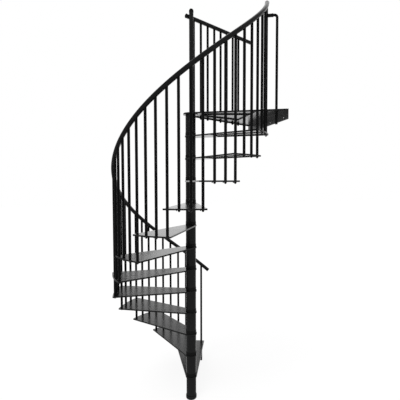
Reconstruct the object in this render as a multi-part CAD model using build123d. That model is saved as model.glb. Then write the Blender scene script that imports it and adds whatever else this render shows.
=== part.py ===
"""Spiral staircase in powder-coated steel: thirteen risers round a central pole.

Frame: millimetres, +Z up. The origin is the centre of the foot's flat face,
and +X is the outward normal of the plate that fixes the landing to its floor.
Angles are measured counter-clockwise from +X, seen from above.
"""
from build123d import *
from math import asin, atan2, cos, degrees, hypot, pi, radians, sin
import os

# ---- driving dimensions (mm, degrees) ---------------------------------------
RISE = 230.0               # tread to tread
FIRST_RISE = 248.0         # floor to the first tread
TREADS = 12
STEP_ANGLE = 21.9          # turn from one tread to the next
FIRST_ANGLE = 78.7         # centre line of the first tread
LANDING_Z = FIRST_RISE + RISE * TREADS

SLEEVE_R = 52.5            # spacer sleeve, outside
SLEEVE_WALL = 3.0
COLLAR_R = 54.0
COLLAR_H = 34.0
POLE_R = 21.2              # the pole inside the sleeves
POLE_WALL = 3.0
POST_R = 22.6              # the post on the landing, a little off the pole's axis
POST_X, POST_Y = 10.0, -3.0
POST_TOP = 4024.0
BASE_SLEEVE_R = 51.5
FOOT_R = 56.5
FOOT_H = 40.0
FOOT_POCKET = 12.0         # floor of the socket that the pole stands in
CAP_SKIRT = 14.0           # straight part of the post's cap
FIT = 0.1                  # gap between a tube and what it slides over

TREAD_R = 795.0            # outer edge of a tread
TREAD_HALF_ANGLE = 13.43   # at the outer corners
TREAD_HUB_R = 59.5
TREAD_CORNER_R = 6.0
TREAD_H = 14.0             # depth of the folded edge
SHEET = 4.0
RIB_H = 10.0               # depth of the rib under a tread
CLOSED_R = 280.0           # the underside is closed from the hub to here
CLOSER = 3.0               # thickness of the sheet that closes it

BALUSTER_R = 12.5
BALUSTER_RING = 771.0
BALUSTER_HOLE_R = 13.0
BALUSTER_TAIL = 20.0       # below the top face of the tread that holds it
BALUSTERS_PER_TREAD = 3
LAST_BALUSTER = BALUSTERS_PER_TREAD * TREADS

RAIL_R = 21.0
RAIL_ABOVE = 1120.0        # rail centre above the line of the tread tops
RAIL_START = 61.1
RAIL_END = 334.5
RAIL_CAP = 6.0             # thickness of the disc that closes a rail's end
RAIL_CAP_LIP = 0.8         # how far the disc stands proud of the rail
RAIL_CAP_GAP = 0.5
SEAT_GAP = 0.4             # between a baluster's cut top and the rail

LANDING_X = 848.0          # outer face of the fixing plate
LANDING_HALF_W = 505.0
LANDING_HUB_R = 75.0
LANDING_H = 16.0           # depth of the folded edge and of the ribs
FIXING_H = 100.0
FIXING_T = 4.0
FIXING_HOLES = (-405.0, -113.0, 113.0, 405.0)
FIXING_HOLE_R = 6.5
FIXING_HOLE_Z = LANDING_Z - 71.0
CROSS_RIB_X = 583.0
CROSS_RIB_FROM = -355.0
CROSS_RIB_TO = 168.0
LONG_RIB_FROM = 125.0      # distance from the axis
LONG_RIB_ANGLE = 15.6

# the landing's two side edges run at this angle to +X
LANDING_LEAN = (degrees(atan2(LANDING_HALF_W, LANDING_X))
                - degrees(asin(LANDING_HUB_R / hypot(LANDING_X, LANDING_HALF_W))))

LANDING_RAIL_Z = 4001.0
LANDING_RAIL_OFFSET = 46.0  # from the axis to the rail's centre line
LANDING_RAIL_FROM = -14.0   # along that line, from its point nearest the axis
LANDING_RAIL_TO = 990.0
LANDING_BALUSTERS = 9
LANDING_PITCH = 97.5
LANDING_FIRST = 83.9
LANDING_SEAT_GAP = 1.0

END_X, END_Y = 759.5, -424.5  # the bent baluster near the fixing plate
END_BEND_Z = 3908.0
END_BEND_R = 25.0
END_BOTTOM = 2866.0
END_SHORT = 30.0            # how far its tip stays clear of the last baluster
CONNECTOR_R = 16.0
CONNECTOR_LENGTH = 62.0
CONNECTOR_RING_R = 18.0
CONNECTOR_RING = 7.0
BRACKET_R = 9.0


# ---- helpers ----------------------------------------------------------------
def tread_z(k):
    """Top face of tread k, counted from 1."""
    return FIRST_RISE + RISE * (k - 1)


def tread_angle(k):
    return FIRST_ANGLE + STEP_ANGLE * (k - 1)


def baluster_angle(j):
    """Angle of helix baluster j, counted from 0 at the foot."""
    return FIRST_ANGLE + STEP_ANGLE * (j - 1.5) / BALUSTERS_PER_TREAD


def baluster_xy(j):
    a = radians(baluster_angle(j))
    return BALUSTER_RING * cos(a), BALUSTER_RING * sin(a)


def rail_z(angle):
    """Height of the helical rail's centre line at an angle."""
    return FIRST_RISE + RISE * (angle - FIRST_ANGLE) / STEP_ANGLE + RAIL_ABOVE


def cylinder(radius, z0, z1, x=0.0, y=0.0):
    return Pos(x, y, (z0 + z1) / 2) * Cylinder(radius, z1 - z0)


def tube(radius, wall, z0, z1):
    return cylinder(radius, z0, z1) - cylinder(radius - wall, z0 - 1, z1 + 1)


def save(shape, name):
    shape.label = name
    export_step(shape, f"parts/{name}.step")


# ---- column -----------------------------------------------------------------
def make_foot():
    body = cylinder(FOOT_R, 0, FOOT_H)
    rim = body.edges().filter_by(GeomType.CIRCLE).sort_by(Axis.Z)
    body = fillet(rim[0], 12)
    body = fillet(body.edges().filter_by(GeomType.CIRCLE).sort_by(Axis.Z)[-1], 3.5)
    return body - cylinder(POLE_R + FIT, FOOT_POCKET, FOOT_H + 1)


def make_pole():
    return tube(POLE_R, POLE_WALL, FOOT_POCKET, LANDING_Z)


def make_post():
    return Pos(POST_X, POST_Y, 0) * tube(POST_R, POLE_WALL, LANDING_Z, POST_TOP)


def make_post_cap():
    radius = POST_R + RAIL_CAP_LIP
    spring = POST_TOP + CAP_SKIRT
    dome = Pos(0, 0, spring) * Sphere(radius)
    dome &= cylinder(2 * radius, spring, spring + 2 * radius)
    return Pos(POST_X, POST_Y, 0) * (dome + cylinder(radius, POST_TOP, spring))


def make_base_sleeve():
    return tube(BASE_SLEEVE_R, SLEEVE_WALL, FOOT_H, FIRST_RISE - TREAD_H)


def make_sleeves():
    """One spacer on each tread; the last one carries the landing."""
    spans = [(tread_z(k), tread_z(k + 1) - TREAD_H) for k in range(1, TREADS)]
    spans.append((tread_z(TREADS), LANDING_Z - LANDING_H))
    return Compound([tube(SLEEVE_R, SLEEVE_WALL, z0, z1) for z0, z1 in spans])


def make_collars():
    rings = []
    for k in range(1, TREADS + 1):
        z0 = tread_z(k)
        ring = cylinder(COLLAR_R, z0, z0 + COLLAR_H)
        rings.append(ring - cylinder(SLEEVE_R + FIT, z0 - 1, z0 + COLLAR_H + 1))
    return Compound(rings)


# ---- treads -----------------------------------------------------------------
def wedge_face(half_angle, outer_r, hub_r, corner_r=0.0):
    """Plan of a tread: a hub circle, two tangent sides and an arc outside."""
    a = radians(half_angle)
    corner = Vector(outer_r * cos(a), outer_r * sin(a))
    turn = a + pi / 2 - asin(hub_r / outer_r)
    touch = Vector(hub_r * cos(turn), hub_r * sin(turn))
    outer = ThreePointArc(corner, Vector(outer_r, 0), Vector(corner.X, -corner.Y))
    low = Line(Vector(corner.X, -corner.Y), Vector(touch.X, -touch.Y))
    inner = ThreePointArc(Vector(touch.X, -touch.Y), Vector(-hub_r, 0), touch)
    high = Line(touch, corner)
    face = make_face([outer, low, inner, high])
    if corner_r:
        tips = [v for v in face.vertices() if v.X > outer_r / 2]
        face = fillet(tips, corner_r)
    return face


def make_tread_blank():
    """A tread with its centre line on +X and its top face at z = 0."""
    outline = wedge_face(TREAD_HALF_ANGLE, TREAD_R, TREAD_HUB_R, TREAD_CORNER_R)
    body = extrude(outline, TREAD_H, dir=(0, 0, -1))
    inside = offset(outline, -SHEET, kind=Kind.INTERSECTION)
    hollow = Pos(0, 0, -SHEET) * extrude(inside, TREAD_H, dir=(0, 0, -1))
    hub = cylinder(TREAD_HUB_R, -TREAD_H, 0)
    rib = Pos(TREAD_R / 2 - SHEET, 0, -RIB_H / 2) * Box(TREAD_R - SHEET, SHEET, RIB_H)
    closer = Pos(0, 0, -TREAD_H) * extrude(outline, CLOSER, dir=(0, 0, 1))
    closer &= cylinder(CLOSED_R, -TREAD_H, 0)
    body = body - hollow + hub + rib + closer
    body -= cylinder(POLE_R + FIT, -TREAD_H - 1, 1)
    for i in (-1.5, -0.5, 0.5, 1.5):
        a = radians(STEP_ANGLE * i / BALUSTERS_PER_TREAD)
        x, y = BALUSTER_RING * cos(a), BALUSTER_RING * sin(a)
        body -= cylinder(BALUSTER_HOLE_R, -TREAD_H - 1, 1, x, y)
    return body


# ---- balusters and rail -----------------------------------------------------
def rail_direction(angle):
    """Unit tangent of the helical rail at an angle, pointing uphill."""
    a = radians(angle)
    climb = RISE / radians(STEP_ANGLE)
    return Vector(-sin(a) * BALUSTER_RING, cos(a) * BALUSTER_RING, climb).normalized()


def make_baluster(j):
    """Upright whose top is cut to the slope of the rail above it."""
    x, y = baluster_xy(j)
    angle = baluster_angle(j)
    holder = max(1, (j + 2) // BALUSTERS_PER_TREAD)
    bottom = 0.0 if j == 0 else tread_z(holder) - BALUSTER_TAIL
    rod = cylinder(BALUSTER_R, bottom, rail_z(angle), x, y)
    along = rail_direction(angle)
    across = Vector(cos(radians(angle)), sin(radians(angle)), 0)
    normal = across.cross(along).normalized()
    centre = Vector(x, y, rail_z(angle))
    under = Plane(origin=centre - normal * (RAIL_R + SEAT_GAP), z_dir=normal)
    return split(rod, bisect_by=under, keep=Keep.BOTTOM)


def make_rail():
    """The rail's round section swept along its helix."""
    turn = RAIL_END - RAIL_START
    pitch = RISE * 360 / STEP_ANGLE
    path = Helix(pitch, pitch * turn / 360, BALUSTER_RING)
    start = path @ 0
    section = Plane(origin=start, z_dir=path % 0) * Circle(RAIL_R)
    body = sweep(section, path=path, is_frenet=True)
    return Pos(0, 0, rail_z(RAIL_START)) * Rot(0, 0, RAIL_START) * body


def rail_cap(angle, sign):
    """Disc closing an end of the helical rail."""
    a = radians(angle)
    along = rail_direction(angle)
    here = Vector(BALUSTER_RING * cos(a), BALUSTER_RING * sin(a), rail_z(angle))
    plane = Plane(origin=here + along * sign * RAIL_CAP_GAP, z_dir=along * sign)
    return extrude(plane * Circle(RAIL_R + RAIL_CAP_LIP), RAIL_CAP)


# ---- landing ----------------------------------------------------------------
def landing_face(inset=0.0):
    """Plan of the landing: hub circle, two tangent edges, straight outer edge."""
    hub_r = LANDING_HUB_R - inset
    a = radians(LANDING_LEAN)
    x1 = LANDING_X - FIXING_T
    touch = Vector(-hub_r * sin(a), hub_r * cos(a))
    y1 = (hub_r + x1 * sin(a)) / cos(a)
    points = [touch, Vector(x1, y1), Vector(x1, -y1), Vector(touch.X, -touch.Y)]
    sides = [Line(points[i], points[i + 1]) for i in range(3)]
    sides.append(ThreePointArc(points[3], Vector(-hub_r, 0), points[0]))
    return make_face(sides)


def landing_rail_point(s):
    """Plan point a distance s along the landing rail's centre line."""
    a = radians(LANDING_LEAN)
    off = LANDING_RAIL_OFFSET
    return s * cos(a) - off * sin(a), s * sin(a) + off * cos(a)


def landing_baluster_points():
    starts = [LANDING_FIRST + LANDING_PITCH * i for i in range(LANDING_BALUSTERS)]
    return [landing_rail_point(s) for s in starts]


def make_landing_plate():
    plate = Pos(0, 0, LANDING_Z) * extrude(landing_face(), LANDING_H, dir=(0, 0, -1))
    inside = Pos(0, 0, LANDING_Z - SHEET) * landing_face(SHEET)
    plate -= extrude(inside, LANDING_H, dir=(0, 0, -1))
    plate += cylinder(LANDING_HUB_R, LANDING_Z - LANDING_H, LANDING_Z)
    plate -= cylinder(POLE_R + FIT, LANDING_Z - LANDING_H - 1, LANDING_Z + 1)
    holes = landing_baluster_points() + [baluster_xy(LAST_BALUSTER), (END_X, END_Y)]
    for x, y in holes:
        plate -= cylinder(BALUSTER_HOLE_R, LANDING_Z - LANDING_H - 1, LANDING_Z + 1, x, y)
    return plate


def make_landing_ribs():
    """Two ribs that spread from the hub and one across, welded into a frame."""
    depth = LANDING_H - SHEET
    z = LANDING_Z - SHEET - depth / 2
    span = CROSS_RIB_TO - CROSS_RIB_FROM
    frame = Pos(CROSS_RIB_X, CROSS_RIB_FROM + span / 2, z) * Box(SHEET, span, depth)
    length = CROSS_RIB_X / cos(radians(LONG_RIB_ANGLE)) - LONG_RIB_FROM
    for angle in (-LONG_RIB_ANGLE, LONG_RIB_ANGLE):
        bar = Pos(LONG_RIB_FROM + length / 2, 0, z) * Box(length, SHEET, depth)
        frame += Rot(0, 0, angle) * bar
    return frame


def make_fixing_plate():
    z0 = LANDING_Z - FIXING_H
    x0 = LANDING_X - FIXING_T / 2
    body = Pos(x0, 0, (z0 + LANDING_Z) / 2)
    body *= Box(FIXING_T, 2 * LANDING_HALF_W, FIXING_H)
    for y in FIXING_HOLES:
        drill = Pos(x0, y, FIXING_HOLE_Z) * Rot(0, 90, 0)
        body -= drill * Cylinder(FIXING_HOLE_R, FIXING_T * 3)
    return body


def make_landing_rail():
    x, y = landing_rail_point((LANDING_RAIL_FROM + LANDING_RAIL_TO) / 2)
    length = LANDING_RAIL_TO - LANDING_RAIL_FROM
    bar = Rot(0, 90, 0) * Cylinder(RAIL_R, length)
    return Pos(x, y, LANDING_RAIL_Z) * Rot(0, 0, LANDING_LEAN) * bar


def make_landing_rail_caps():
    caps = []
    half = RAIL_CAP / 2 + RAIL_CAP_GAP
    for s in (LANDING_RAIL_FROM - half, LANDING_RAIL_TO + half):
        x, y = landing_rail_point(s)
        disc = Rot(0, 90, 0) * Cylinder(RAIL_R + RAIL_CAP_LIP, RAIL_CAP)
        caps.append(Pos(x, y, LANDING_RAIL_Z) * Rot(0, 0, LANDING_LEAN) * disc)
    return Compound(caps)


def make_landing_balusters():
    z0 = LANDING_Z - BALUSTER_TAIL
    z1 = LANDING_RAIL_Z - RAIL_R - LANDING_SEAT_GAP
    points = landing_baluster_points()
    return Compound([cylinder(BALUSTER_R, z0, z1, x, y) for x, y in points])


def make_end_baluster():
    """Upright by the fixing plate, bent over to reach the last helix baluster."""
    x, y = baluster_xy(LAST_BALUSTER)
    back = Vector(x - END_X, y - END_Y, 0).normalized()
    top = Vector(END_X, END_Y, END_BEND_Z)
    low = Vector(END_X, END_Y, END_BOTTOM)
    under = Vector(END_X, END_Y, END_BEND_Z - END_BEND_R)
    reach = hypot(x - END_X, y - END_Y) - END_SHORT
    start = top + back * END_BEND_R
    up = Line(low, under)
    bend = TangentArc(under, start, tangent=(0, 0, 1))
    over = Line(start, top + back * reach)
    path = Wire([up, bend, over])
    return sweep(Plane(origin=low, z_dir=(0, 0, 1)) * Circle(BALUSTER_R), path=path)


def make_end_connector():
    """Sleeve with a ring that ties the bent baluster to the last on the helix."""
    x, y = baluster_xy(LAST_BALUSTER)
    out = Vector(END_X - x, END_Y - y, 0).normalized()
    plane = Plane(origin=(x, y, END_BEND_Z), z_dir=out)
    body = plane * Pos(0, 0, CONNECTOR_LENGTH / 2) * Cylinder(CONNECTOR_R, CONNECTOR_LENGTH)
    ring_at = CONNECTOR_LENGTH - CONNECTOR_RING / 2
    body += plane * Pos(0, 0, ring_at) * Cylinder(CONNECTOR_RING_R, CONNECTOR_RING)
    slack = 2 * CONNECTOR_R
    body -= cylinder(BALUSTER_R + FIT, END_BEND_Z - slack, END_BEND_Z + slack, x, y)
    socket = CONNECTOR_LENGTH - END_SHORT + 2
    body -= plane * Pos(0, 0, END_SHORT - 1 + socket / 2) * Cylinder(BALUSTER_R + FIT, socket)
    return body


def make_rail_bracket():
    """Spacer that holds the landing rail to the post."""
    a = radians(LANDING_LEAN)
    out = Vector(-sin(a), cos(a), 0)
    post = Vector(POST_X, POST_Y, LANDING_RAIL_Z)
    reach = LANDING_RAIL_OFFSET - post.dot(out)
    plane = Plane(origin=post, z_dir=out)
    body = plane * Pos(0, 0, reach / 2) * Cylinder(BRACKET_R, reach)
    low, high = LANDING_RAIL_Z - RAIL_R, LANDING_RAIL_Z + RAIL_R
    body -= cylinder(POST_R + FIT, low, high, POST_X, POST_Y)
    x, y = landing_rail_point(0)
    rail = Rot(0, 0, LANDING_LEAN) * Rot(0, 90, 0) * Cylinder(RAIL_R + FIT, 5 * RAIL_R)
    return body - Pos(x, y, LANDING_RAIL_Z) * rail


# ---- build ------------------------------------------------------------------
def main():
    os.makedirs("parts", exist_ok=True)
    save(make_foot(), "column_foot")
    save(make_pole(), "centre_pole")
    save(make_post(), "landing_post")
    save(make_post_cap(), "post_cap")
    save(make_base_sleeve(), "base_sleeve")
    save(make_sleeves(), "column_sleeves")
    save(make_collars(), "sleeve_collars")
    blank = make_tread_blank()
    for k in range(1, TREADS + 1):
        tread = Pos(0, 0, tread_z(k)) * Rot(0, 0, tread_angle(k)) * blank
        save(tread, f"tread_{k:02d}")
    save(make_baluster(0), "first_baluster")
    for group in range(4):
        first = 1 + 9 * group
        rods = [make_baluster(j) for j in range(first, first + 9)]
        save(Compound(rods), f"helix_balusters_{group + 1}")
    save(make_rail(), "helix_rail")
    save(rail_cap(RAIL_START, -1), "helix_rail_cap_low")
    save(rail_cap(RAIL_END, 1), "helix_rail_cap_high")
    save(make_landing_plate(), "landing_plate")
    save(make_landing_ribs(), "landing_ribs")
    save(make_fixing_plate(), "landing_fixing_plate")
    save(make_landing_rail(), "landing_rail")
    save(make_landing_rail_caps(), "landing_rail_caps")
    save(make_landing_balusters(), "landing_balusters")
    save(make_end_baluster(), "end_baluster")
    save(make_end_connector(), "end_connector")
    save(make_rail_bracket(), "rail_bracket")


main()
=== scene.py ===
"""Spiral staircase in black powder-coated steel, dressed round its CAD frame.

Everything is in metres, in the frame of the CAD: the column stands on the
origin, +Z is up, and +X leaves the landing through its wall plate. Angles run
counter-clockwise from +X, seen from above.
"""
import logging
import math
from dataclasses import dataclass
from enum import Enum, IntEnum

import bmesh
import bpy
import numpy as np
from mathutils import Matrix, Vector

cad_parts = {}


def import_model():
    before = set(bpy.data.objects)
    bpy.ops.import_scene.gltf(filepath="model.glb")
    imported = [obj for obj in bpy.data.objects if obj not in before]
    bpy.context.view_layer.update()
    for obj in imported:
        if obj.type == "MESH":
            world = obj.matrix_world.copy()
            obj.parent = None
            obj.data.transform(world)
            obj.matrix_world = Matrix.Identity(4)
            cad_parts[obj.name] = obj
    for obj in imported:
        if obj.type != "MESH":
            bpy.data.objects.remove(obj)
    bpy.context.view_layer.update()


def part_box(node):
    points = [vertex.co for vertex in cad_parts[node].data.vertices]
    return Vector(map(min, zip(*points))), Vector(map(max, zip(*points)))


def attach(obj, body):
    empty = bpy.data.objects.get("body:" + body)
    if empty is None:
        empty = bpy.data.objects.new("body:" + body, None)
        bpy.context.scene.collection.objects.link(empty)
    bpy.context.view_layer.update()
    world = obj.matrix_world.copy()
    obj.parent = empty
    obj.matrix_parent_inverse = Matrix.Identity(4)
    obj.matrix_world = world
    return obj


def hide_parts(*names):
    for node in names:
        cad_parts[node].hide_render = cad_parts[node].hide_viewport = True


LOG = logging.getLogger("staircase")
SEWING_DISTANCE = 4e-6
SHARP_ANGLE = math.radians(38)
FULL_TURN = 2 * math.pi
QUARTER = math.pi / 2
Z_AXIS = np.array([0.0, 0.0, 1.0])
WHITE = (1.0, 1.0, 1.0, 1.0)
NO_LENGTH = 1e-12
SAME_POINT = 1e-8
SAME_LINE = 1e-7
FLAT_ANGLE = 1e-6
NOISE_MIDDLE = 0.5
STEEP = 0.9
SEAT_RINGS = (1.0, 0.6, 0.0)
NUT_DOME_POINTS = 7
Socket = bpy.types.NodeSocket
Value = Socket | float | tuple[float, ...]
Points = list[tuple[float, float]]


class Facets(IntEnum):
    """Facets once round each kind of round piece."""

    COLUMN = 96
    DOME = 64
    PLUG = 48
    NUT = 48
    RAIL = 40
    ROD = 28
    SCREW = 20


# ---- curves and surfaces ----------------------------------------------------
def unit(vectors: np.ndarray) -> np.ndarray:
    """Vectors scaled to length one along the last axis."""
    return vectors / np.maximum(np.linalg.norm(vectors, axis=-1, keepdims=True), NO_LENGTH)


def heading(angle: np.ndarray | float) -> np.ndarray:
    """Unit plan vectors, cosine and sine, at angles in radians."""
    return np.stack([np.cos(angle), np.sin(angle)], axis=-1)


def circle(steps: int) -> np.ndarray:
    """Closed ring of unit plan vectors, the first repeated at the end."""
    return heading(np.linspace(0, FULL_TURN, steps + 1))


def lengths(path: np.ndarray) -> np.ndarray:
    """Distance along a path at each of its points."""
    return np.append(0.0, np.cumsum(np.linalg.norm(np.diff(path, axis=0), axis=1)))


def raised(plan: np.ndarray, height: np.ndarray | float) -> np.ndarray:
    """Plan points with their height added.

    Args:
        plan: Plan points, in an array of any shape.
        height: One height, one for each row, or one for each point.

    Returns:
        Points in space.
    """
    height = np.asarray(height, float)
    height = height.reshape(height.shape + (1,) * (plan.ndim - 1 - height.ndim))
    level = np.broadcast_to(height, plan.shape[:-1])[..., None]
    return np.concatenate([plan, level], axis=-1)


def rounded(corners: Points, radii: tuple[float, ...], steps: int = 5,
            closed: bool = False) -> np.ndarray:
    """Polyline whose corners are replaced by arcs.

    Each arc's centre lies on the corner's bisector at radius / sin(half angle),
    and its points turn evenly from one tangent point to the other.

    Args:
        corners: Plan points of the polyline.
        radii: Radius at each corner, nought where it stays sharp.
        steps: Points on each arc.
        closed: Whether the last point joins the first.

    Returns:
        The points, one row each, with the first repeated when closed.
    """
    here = np.array(corners, float)
    radius = np.array(radii, float)[:, None]
    back = unit(np.roll(here, 1, axis=0) - here)
    ahead = unit(np.roll(here, -1, axis=0) - here)
    half = np.arccos(np.clip((back * ahead).sum(1, keepdims=True), -1, 1)) / 2
    centre = here + unit(back + ahead) * radius / np.maximum(np.sin(half), FLAT_ANGLE)
    reach = radius / np.maximum(np.tan(half), FLAT_ANGLE)
    first, last = here + back * reach - centre, here + ahead * reach - centre
    turn = np.clip(math.pi - 2 * half, FLAT_ANGLE, math.pi - FLAT_ANGLE)
    share = np.linspace(0, 1, steps)
    start = (np.sin((1 - share) * turn) / np.sin(turn))[..., None]
    end = (np.sin(share * turn) / np.sin(turn))[..., None]
    arcs = centre[:, None] + start * first[:, None] + end * last[:, None]
    points = np.where(radius[:, None] > 0, arcs, here[:, None]).reshape(-1, 2)
    moved = np.linalg.norm(np.diff(points, axis=0), axis=1) > SAME_POINT
    points = points[np.concatenate([[True], moved])]
    return np.vstack([points, points[:1]]) if closed else points


def turned(profile: np.ndarray, steps: int = Facets.COLUMN) -> np.ndarray:
    """Profile of (radius, height) turned once round the Z axis.

    Args:
        profile: Rows of radius and height.
        steps: Facets round the axis.

    Returns:
        Grid of points: one row for each profile point, one column each step.
    """
    return raised(circle(steps)[None] * profile[:, 0, None, None], profile[:, 1])


def pipe(inner: float, outer: float, low: float, high: float,
         edges: tuple[float, float, float, float], steps: int = 5) -> np.ndarray:
    """Pipe turned round the Z axis, its four edges rounded.

    Args:
        inner: Radius of the bore.
        outer: Radius outside.
        low: Height of the lower end.
        high: Height of the upper end.
        edges: Radius of each edge: bore and outside below, outside and bore above.
        steps: Points on each rounded edge.

    Returns:
        Grid of points round the pipe's closed section.
    """
    corners = [(inner, low), (outer, low), (outer, high), (inner, high)]
    return turned(rounded(corners, edges, steps, closed=True))


def placed(grid: np.ndarray, origin: np.ndarray, axis: np.ndarray) -> np.ndarray:
    """Grid made round Z, carried so that Z points along an axis.

    Args:
        grid: Points made round the Z axis.
        origin: Where the grid's own origin goes.
        axis: Direction that Z takes, in plan or in space.

    Returns:
        The carried points.
    """
    along = unit(raised(axis, 0.0) if len(axis) == 2 else axis)
    rough = np.array([1.0, 0.0, 0.0]) if abs(along[2]) > STEEP else Z_AXIS
    across = unit(np.cross(rough, along))
    return grid @ np.stack([across, np.cross(along, across), along]) + origin


def spun(grid: np.ndarray, angle: float, height: float = 0.0) -> np.ndarray:
    """Grid turned about the column and raised.

    Args:
        grid: Points to move.
        angle: Angle to turn them by.
        height: Height to raise them by.

    Returns:
        The moved points.
    """
    plan = grid[..., :1] * heading(angle) + grid[..., 1:2] * heading(angle + QUARTER)
    return np.concatenate([plan, grid[..., 2:] + height], axis=-1)


def carried(path: np.ndarray, across: np.ndarray, over: np.ndarray,
            section: np.ndarray) -> np.ndarray:
    """Plane section carried along a path.

    Args:
        path: Points of the path.
        across: Unit vectors that the section's first number runs along.
        over: Unit vectors that its second number runs along.
        section: Rows of the two numbers, for each point of the path.

    Returns:
        Grid of points: one row for each path point, one column each section point.
    """
    return (path[:, None] + section[..., :1] * across[:, None]
            + section[..., 1:] * over[:, None])


def closed_ends(grid: np.ndarray) -> np.ndarray:
    """Grid with a row drawn in to the middle of its first row and of its last.

    Args:
        grid: Points whose rows are closed rings.

    Returns:
        The grid with two more rows.
    """
    first = np.broadcast_to(grid[0, :-1].mean(0), grid[:1].shape)
    last = np.broadcast_to(grid[-1, :-1].mean(0), grid[-1:].shape)
    return np.concatenate([first, grid, last])


def bar(start: np.ndarray, end: np.ndarray, width: float, depth: float,
        edge: float = 0.0006) -> np.ndarray:
    """Flat bar hanging below a level line, with eased edges and closed ends.

    A rounded rectangle is carried from one end to the other, and drawn in by
    the edge radius at both ends.

    Args:
        start: Top middle of one end.
        end: Top middle of the other end.
        width: Thickness across.
        depth: How far it hangs down.
        edge: Radius of its edges.

    Returns:
        Grid of points along the bar.
    """
    along, length = unit(end - start), np.linalg.norm(end - start)
    stops = np.array([0.0, edge, length - edge, length])
    half, drawn = width / 2, np.array([edge, 0.0, 0.0, edge])
    corners = [(-half, -depth), (half, -depth), (half, 0), (-half, 0)]
    ring = rounded(corners, (edge,) * 4, steps=4, closed=True)
    middle = np.array([0.0, -depth / 2])
    shrink = 1 - drawn[:, None, None] / np.array([half, depth / 2])
    path = start + stops[:, None] * along
    across = np.broadcast_to(unit(np.cross(Z_AXIS, along)), path.shape)
    over = np.broadcast_to(Z_AXIS, path.shape)
    return closed_ends(carried(path, across, over, middle + (ring - middle) * shrink))


def round_bar(path: np.ndarray, across: np.ndarray, over: np.ndarray, radius: float,
              facets: int, edge: float = 0.0008) -> tuple[np.ndarray, np.ndarray]:
    """Round bar carried along a path, with eased and closed ends.

    Args:
        path: Centre line.
        across: Unit vectors across it.
        over: Unit vectors at right angles to both.
        radius: Radius of the bar.
        facets: Facets round it.
        edge: How much its ends are eased.

    Returns:
        The grid, and a surface map of turn and length.
    """
    size = np.full(len(path), radius)
    size[[0, -1]] = radius - edge
    grid = carried(path, across, over, circle(facets)[None] * size[:, None, None])
    length = np.pad(lengths(path), 1, mode="edge")
    around = np.linspace(0, 1, facets + 1)
    flat = np.stack(np.broadcast_arrays(around[None], length[:, None]), axis=-1)
    return closed_ends(grid), flat


@dataclass(frozen=True)
class Bead:
    """Bead of weld, rippled where each drop froze."""

    radius: float
    pitch: float = 0.0032
    swell: float = 0.1
    rows_a_ripple: int = 4
    least_rows: int = 12
    facets: int = 8

    def along(self, path: np.ndarray) -> np.ndarray:
        """Bead along the corner that it fills.

        Its radius swells by a tenth once a pitch, and falls to nothing at both
        ends as the square root of the distance from them.

        Args:
            path: Points along the corner.

        Returns:
            Grid of points along the bead.
        """
        length = lengths(path)
        count = max(self.least_rows, int(length[-1] / self.pitch * self.rows_a_ripple))
        at = np.linspace(0, length[-1], count)
        line = np.stack([np.interp(at, length, path[:, i]) for i in range(3)], axis=1)
        along = unit(np.gradient(line, axis=0))
        across = unit(np.cross(along, Z_AXIS))
        ends = np.minimum(at, length[-1] - at) / (2 * self.radius)
        ripple = 1 + self.swell * np.sin(FULL_TURN * at / self.pitch)
        size = self.radius * ripple * np.sqrt(np.clip(ends, 0.0, 1.0))
        section = circle(self.facets)[None] * size[:, None, None]
        return carried(line, across, np.cross(across, along), section)


@dataclass(frozen=True)
class Rib:
    """Flat bar on edge under a sheet, welded to it in short stitches."""

    width: float
    depth: float
    bead: Bead
    stitches: int
    stitch: float
    near: float
    far: float = 0.070
    sunk: float = 0.0006

    def flat(self, start: np.ndarray, end: np.ndarray) -> np.ndarray:
        """Bar of the rib, from start to end on the sheet's underside."""
        lift = self.sunk * Z_AXIS
        return bar(start + lift, end + lift, self.width, self.depth + self.sunk)

    def beads(self, start: np.ndarray, end: np.ndarray,
              sides: tuple[int, ...] = (-1, 1)) -> list[np.ndarray]:
        """Weld beads of the rib.

        Args:
            start: One end of the rib's middle line, on the sheet's underside.
            end: The other end.
            sides: The sides they are on: -1 right of the way to the end, 1 left.

        Returns:
            Grid of each bead.
        """
        along = unit(end - start)
        side = unit(np.cross(Z_AXIS, along)) * self.width / 2
        last = np.linalg.norm(end - start) - self.far
        return [self.bead.along(start + along * np.array([[at], [at + self.stitch]]) + side * way)
                for at in np.linspace(self.near, last, self.stitches) for way in sides]


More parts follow.
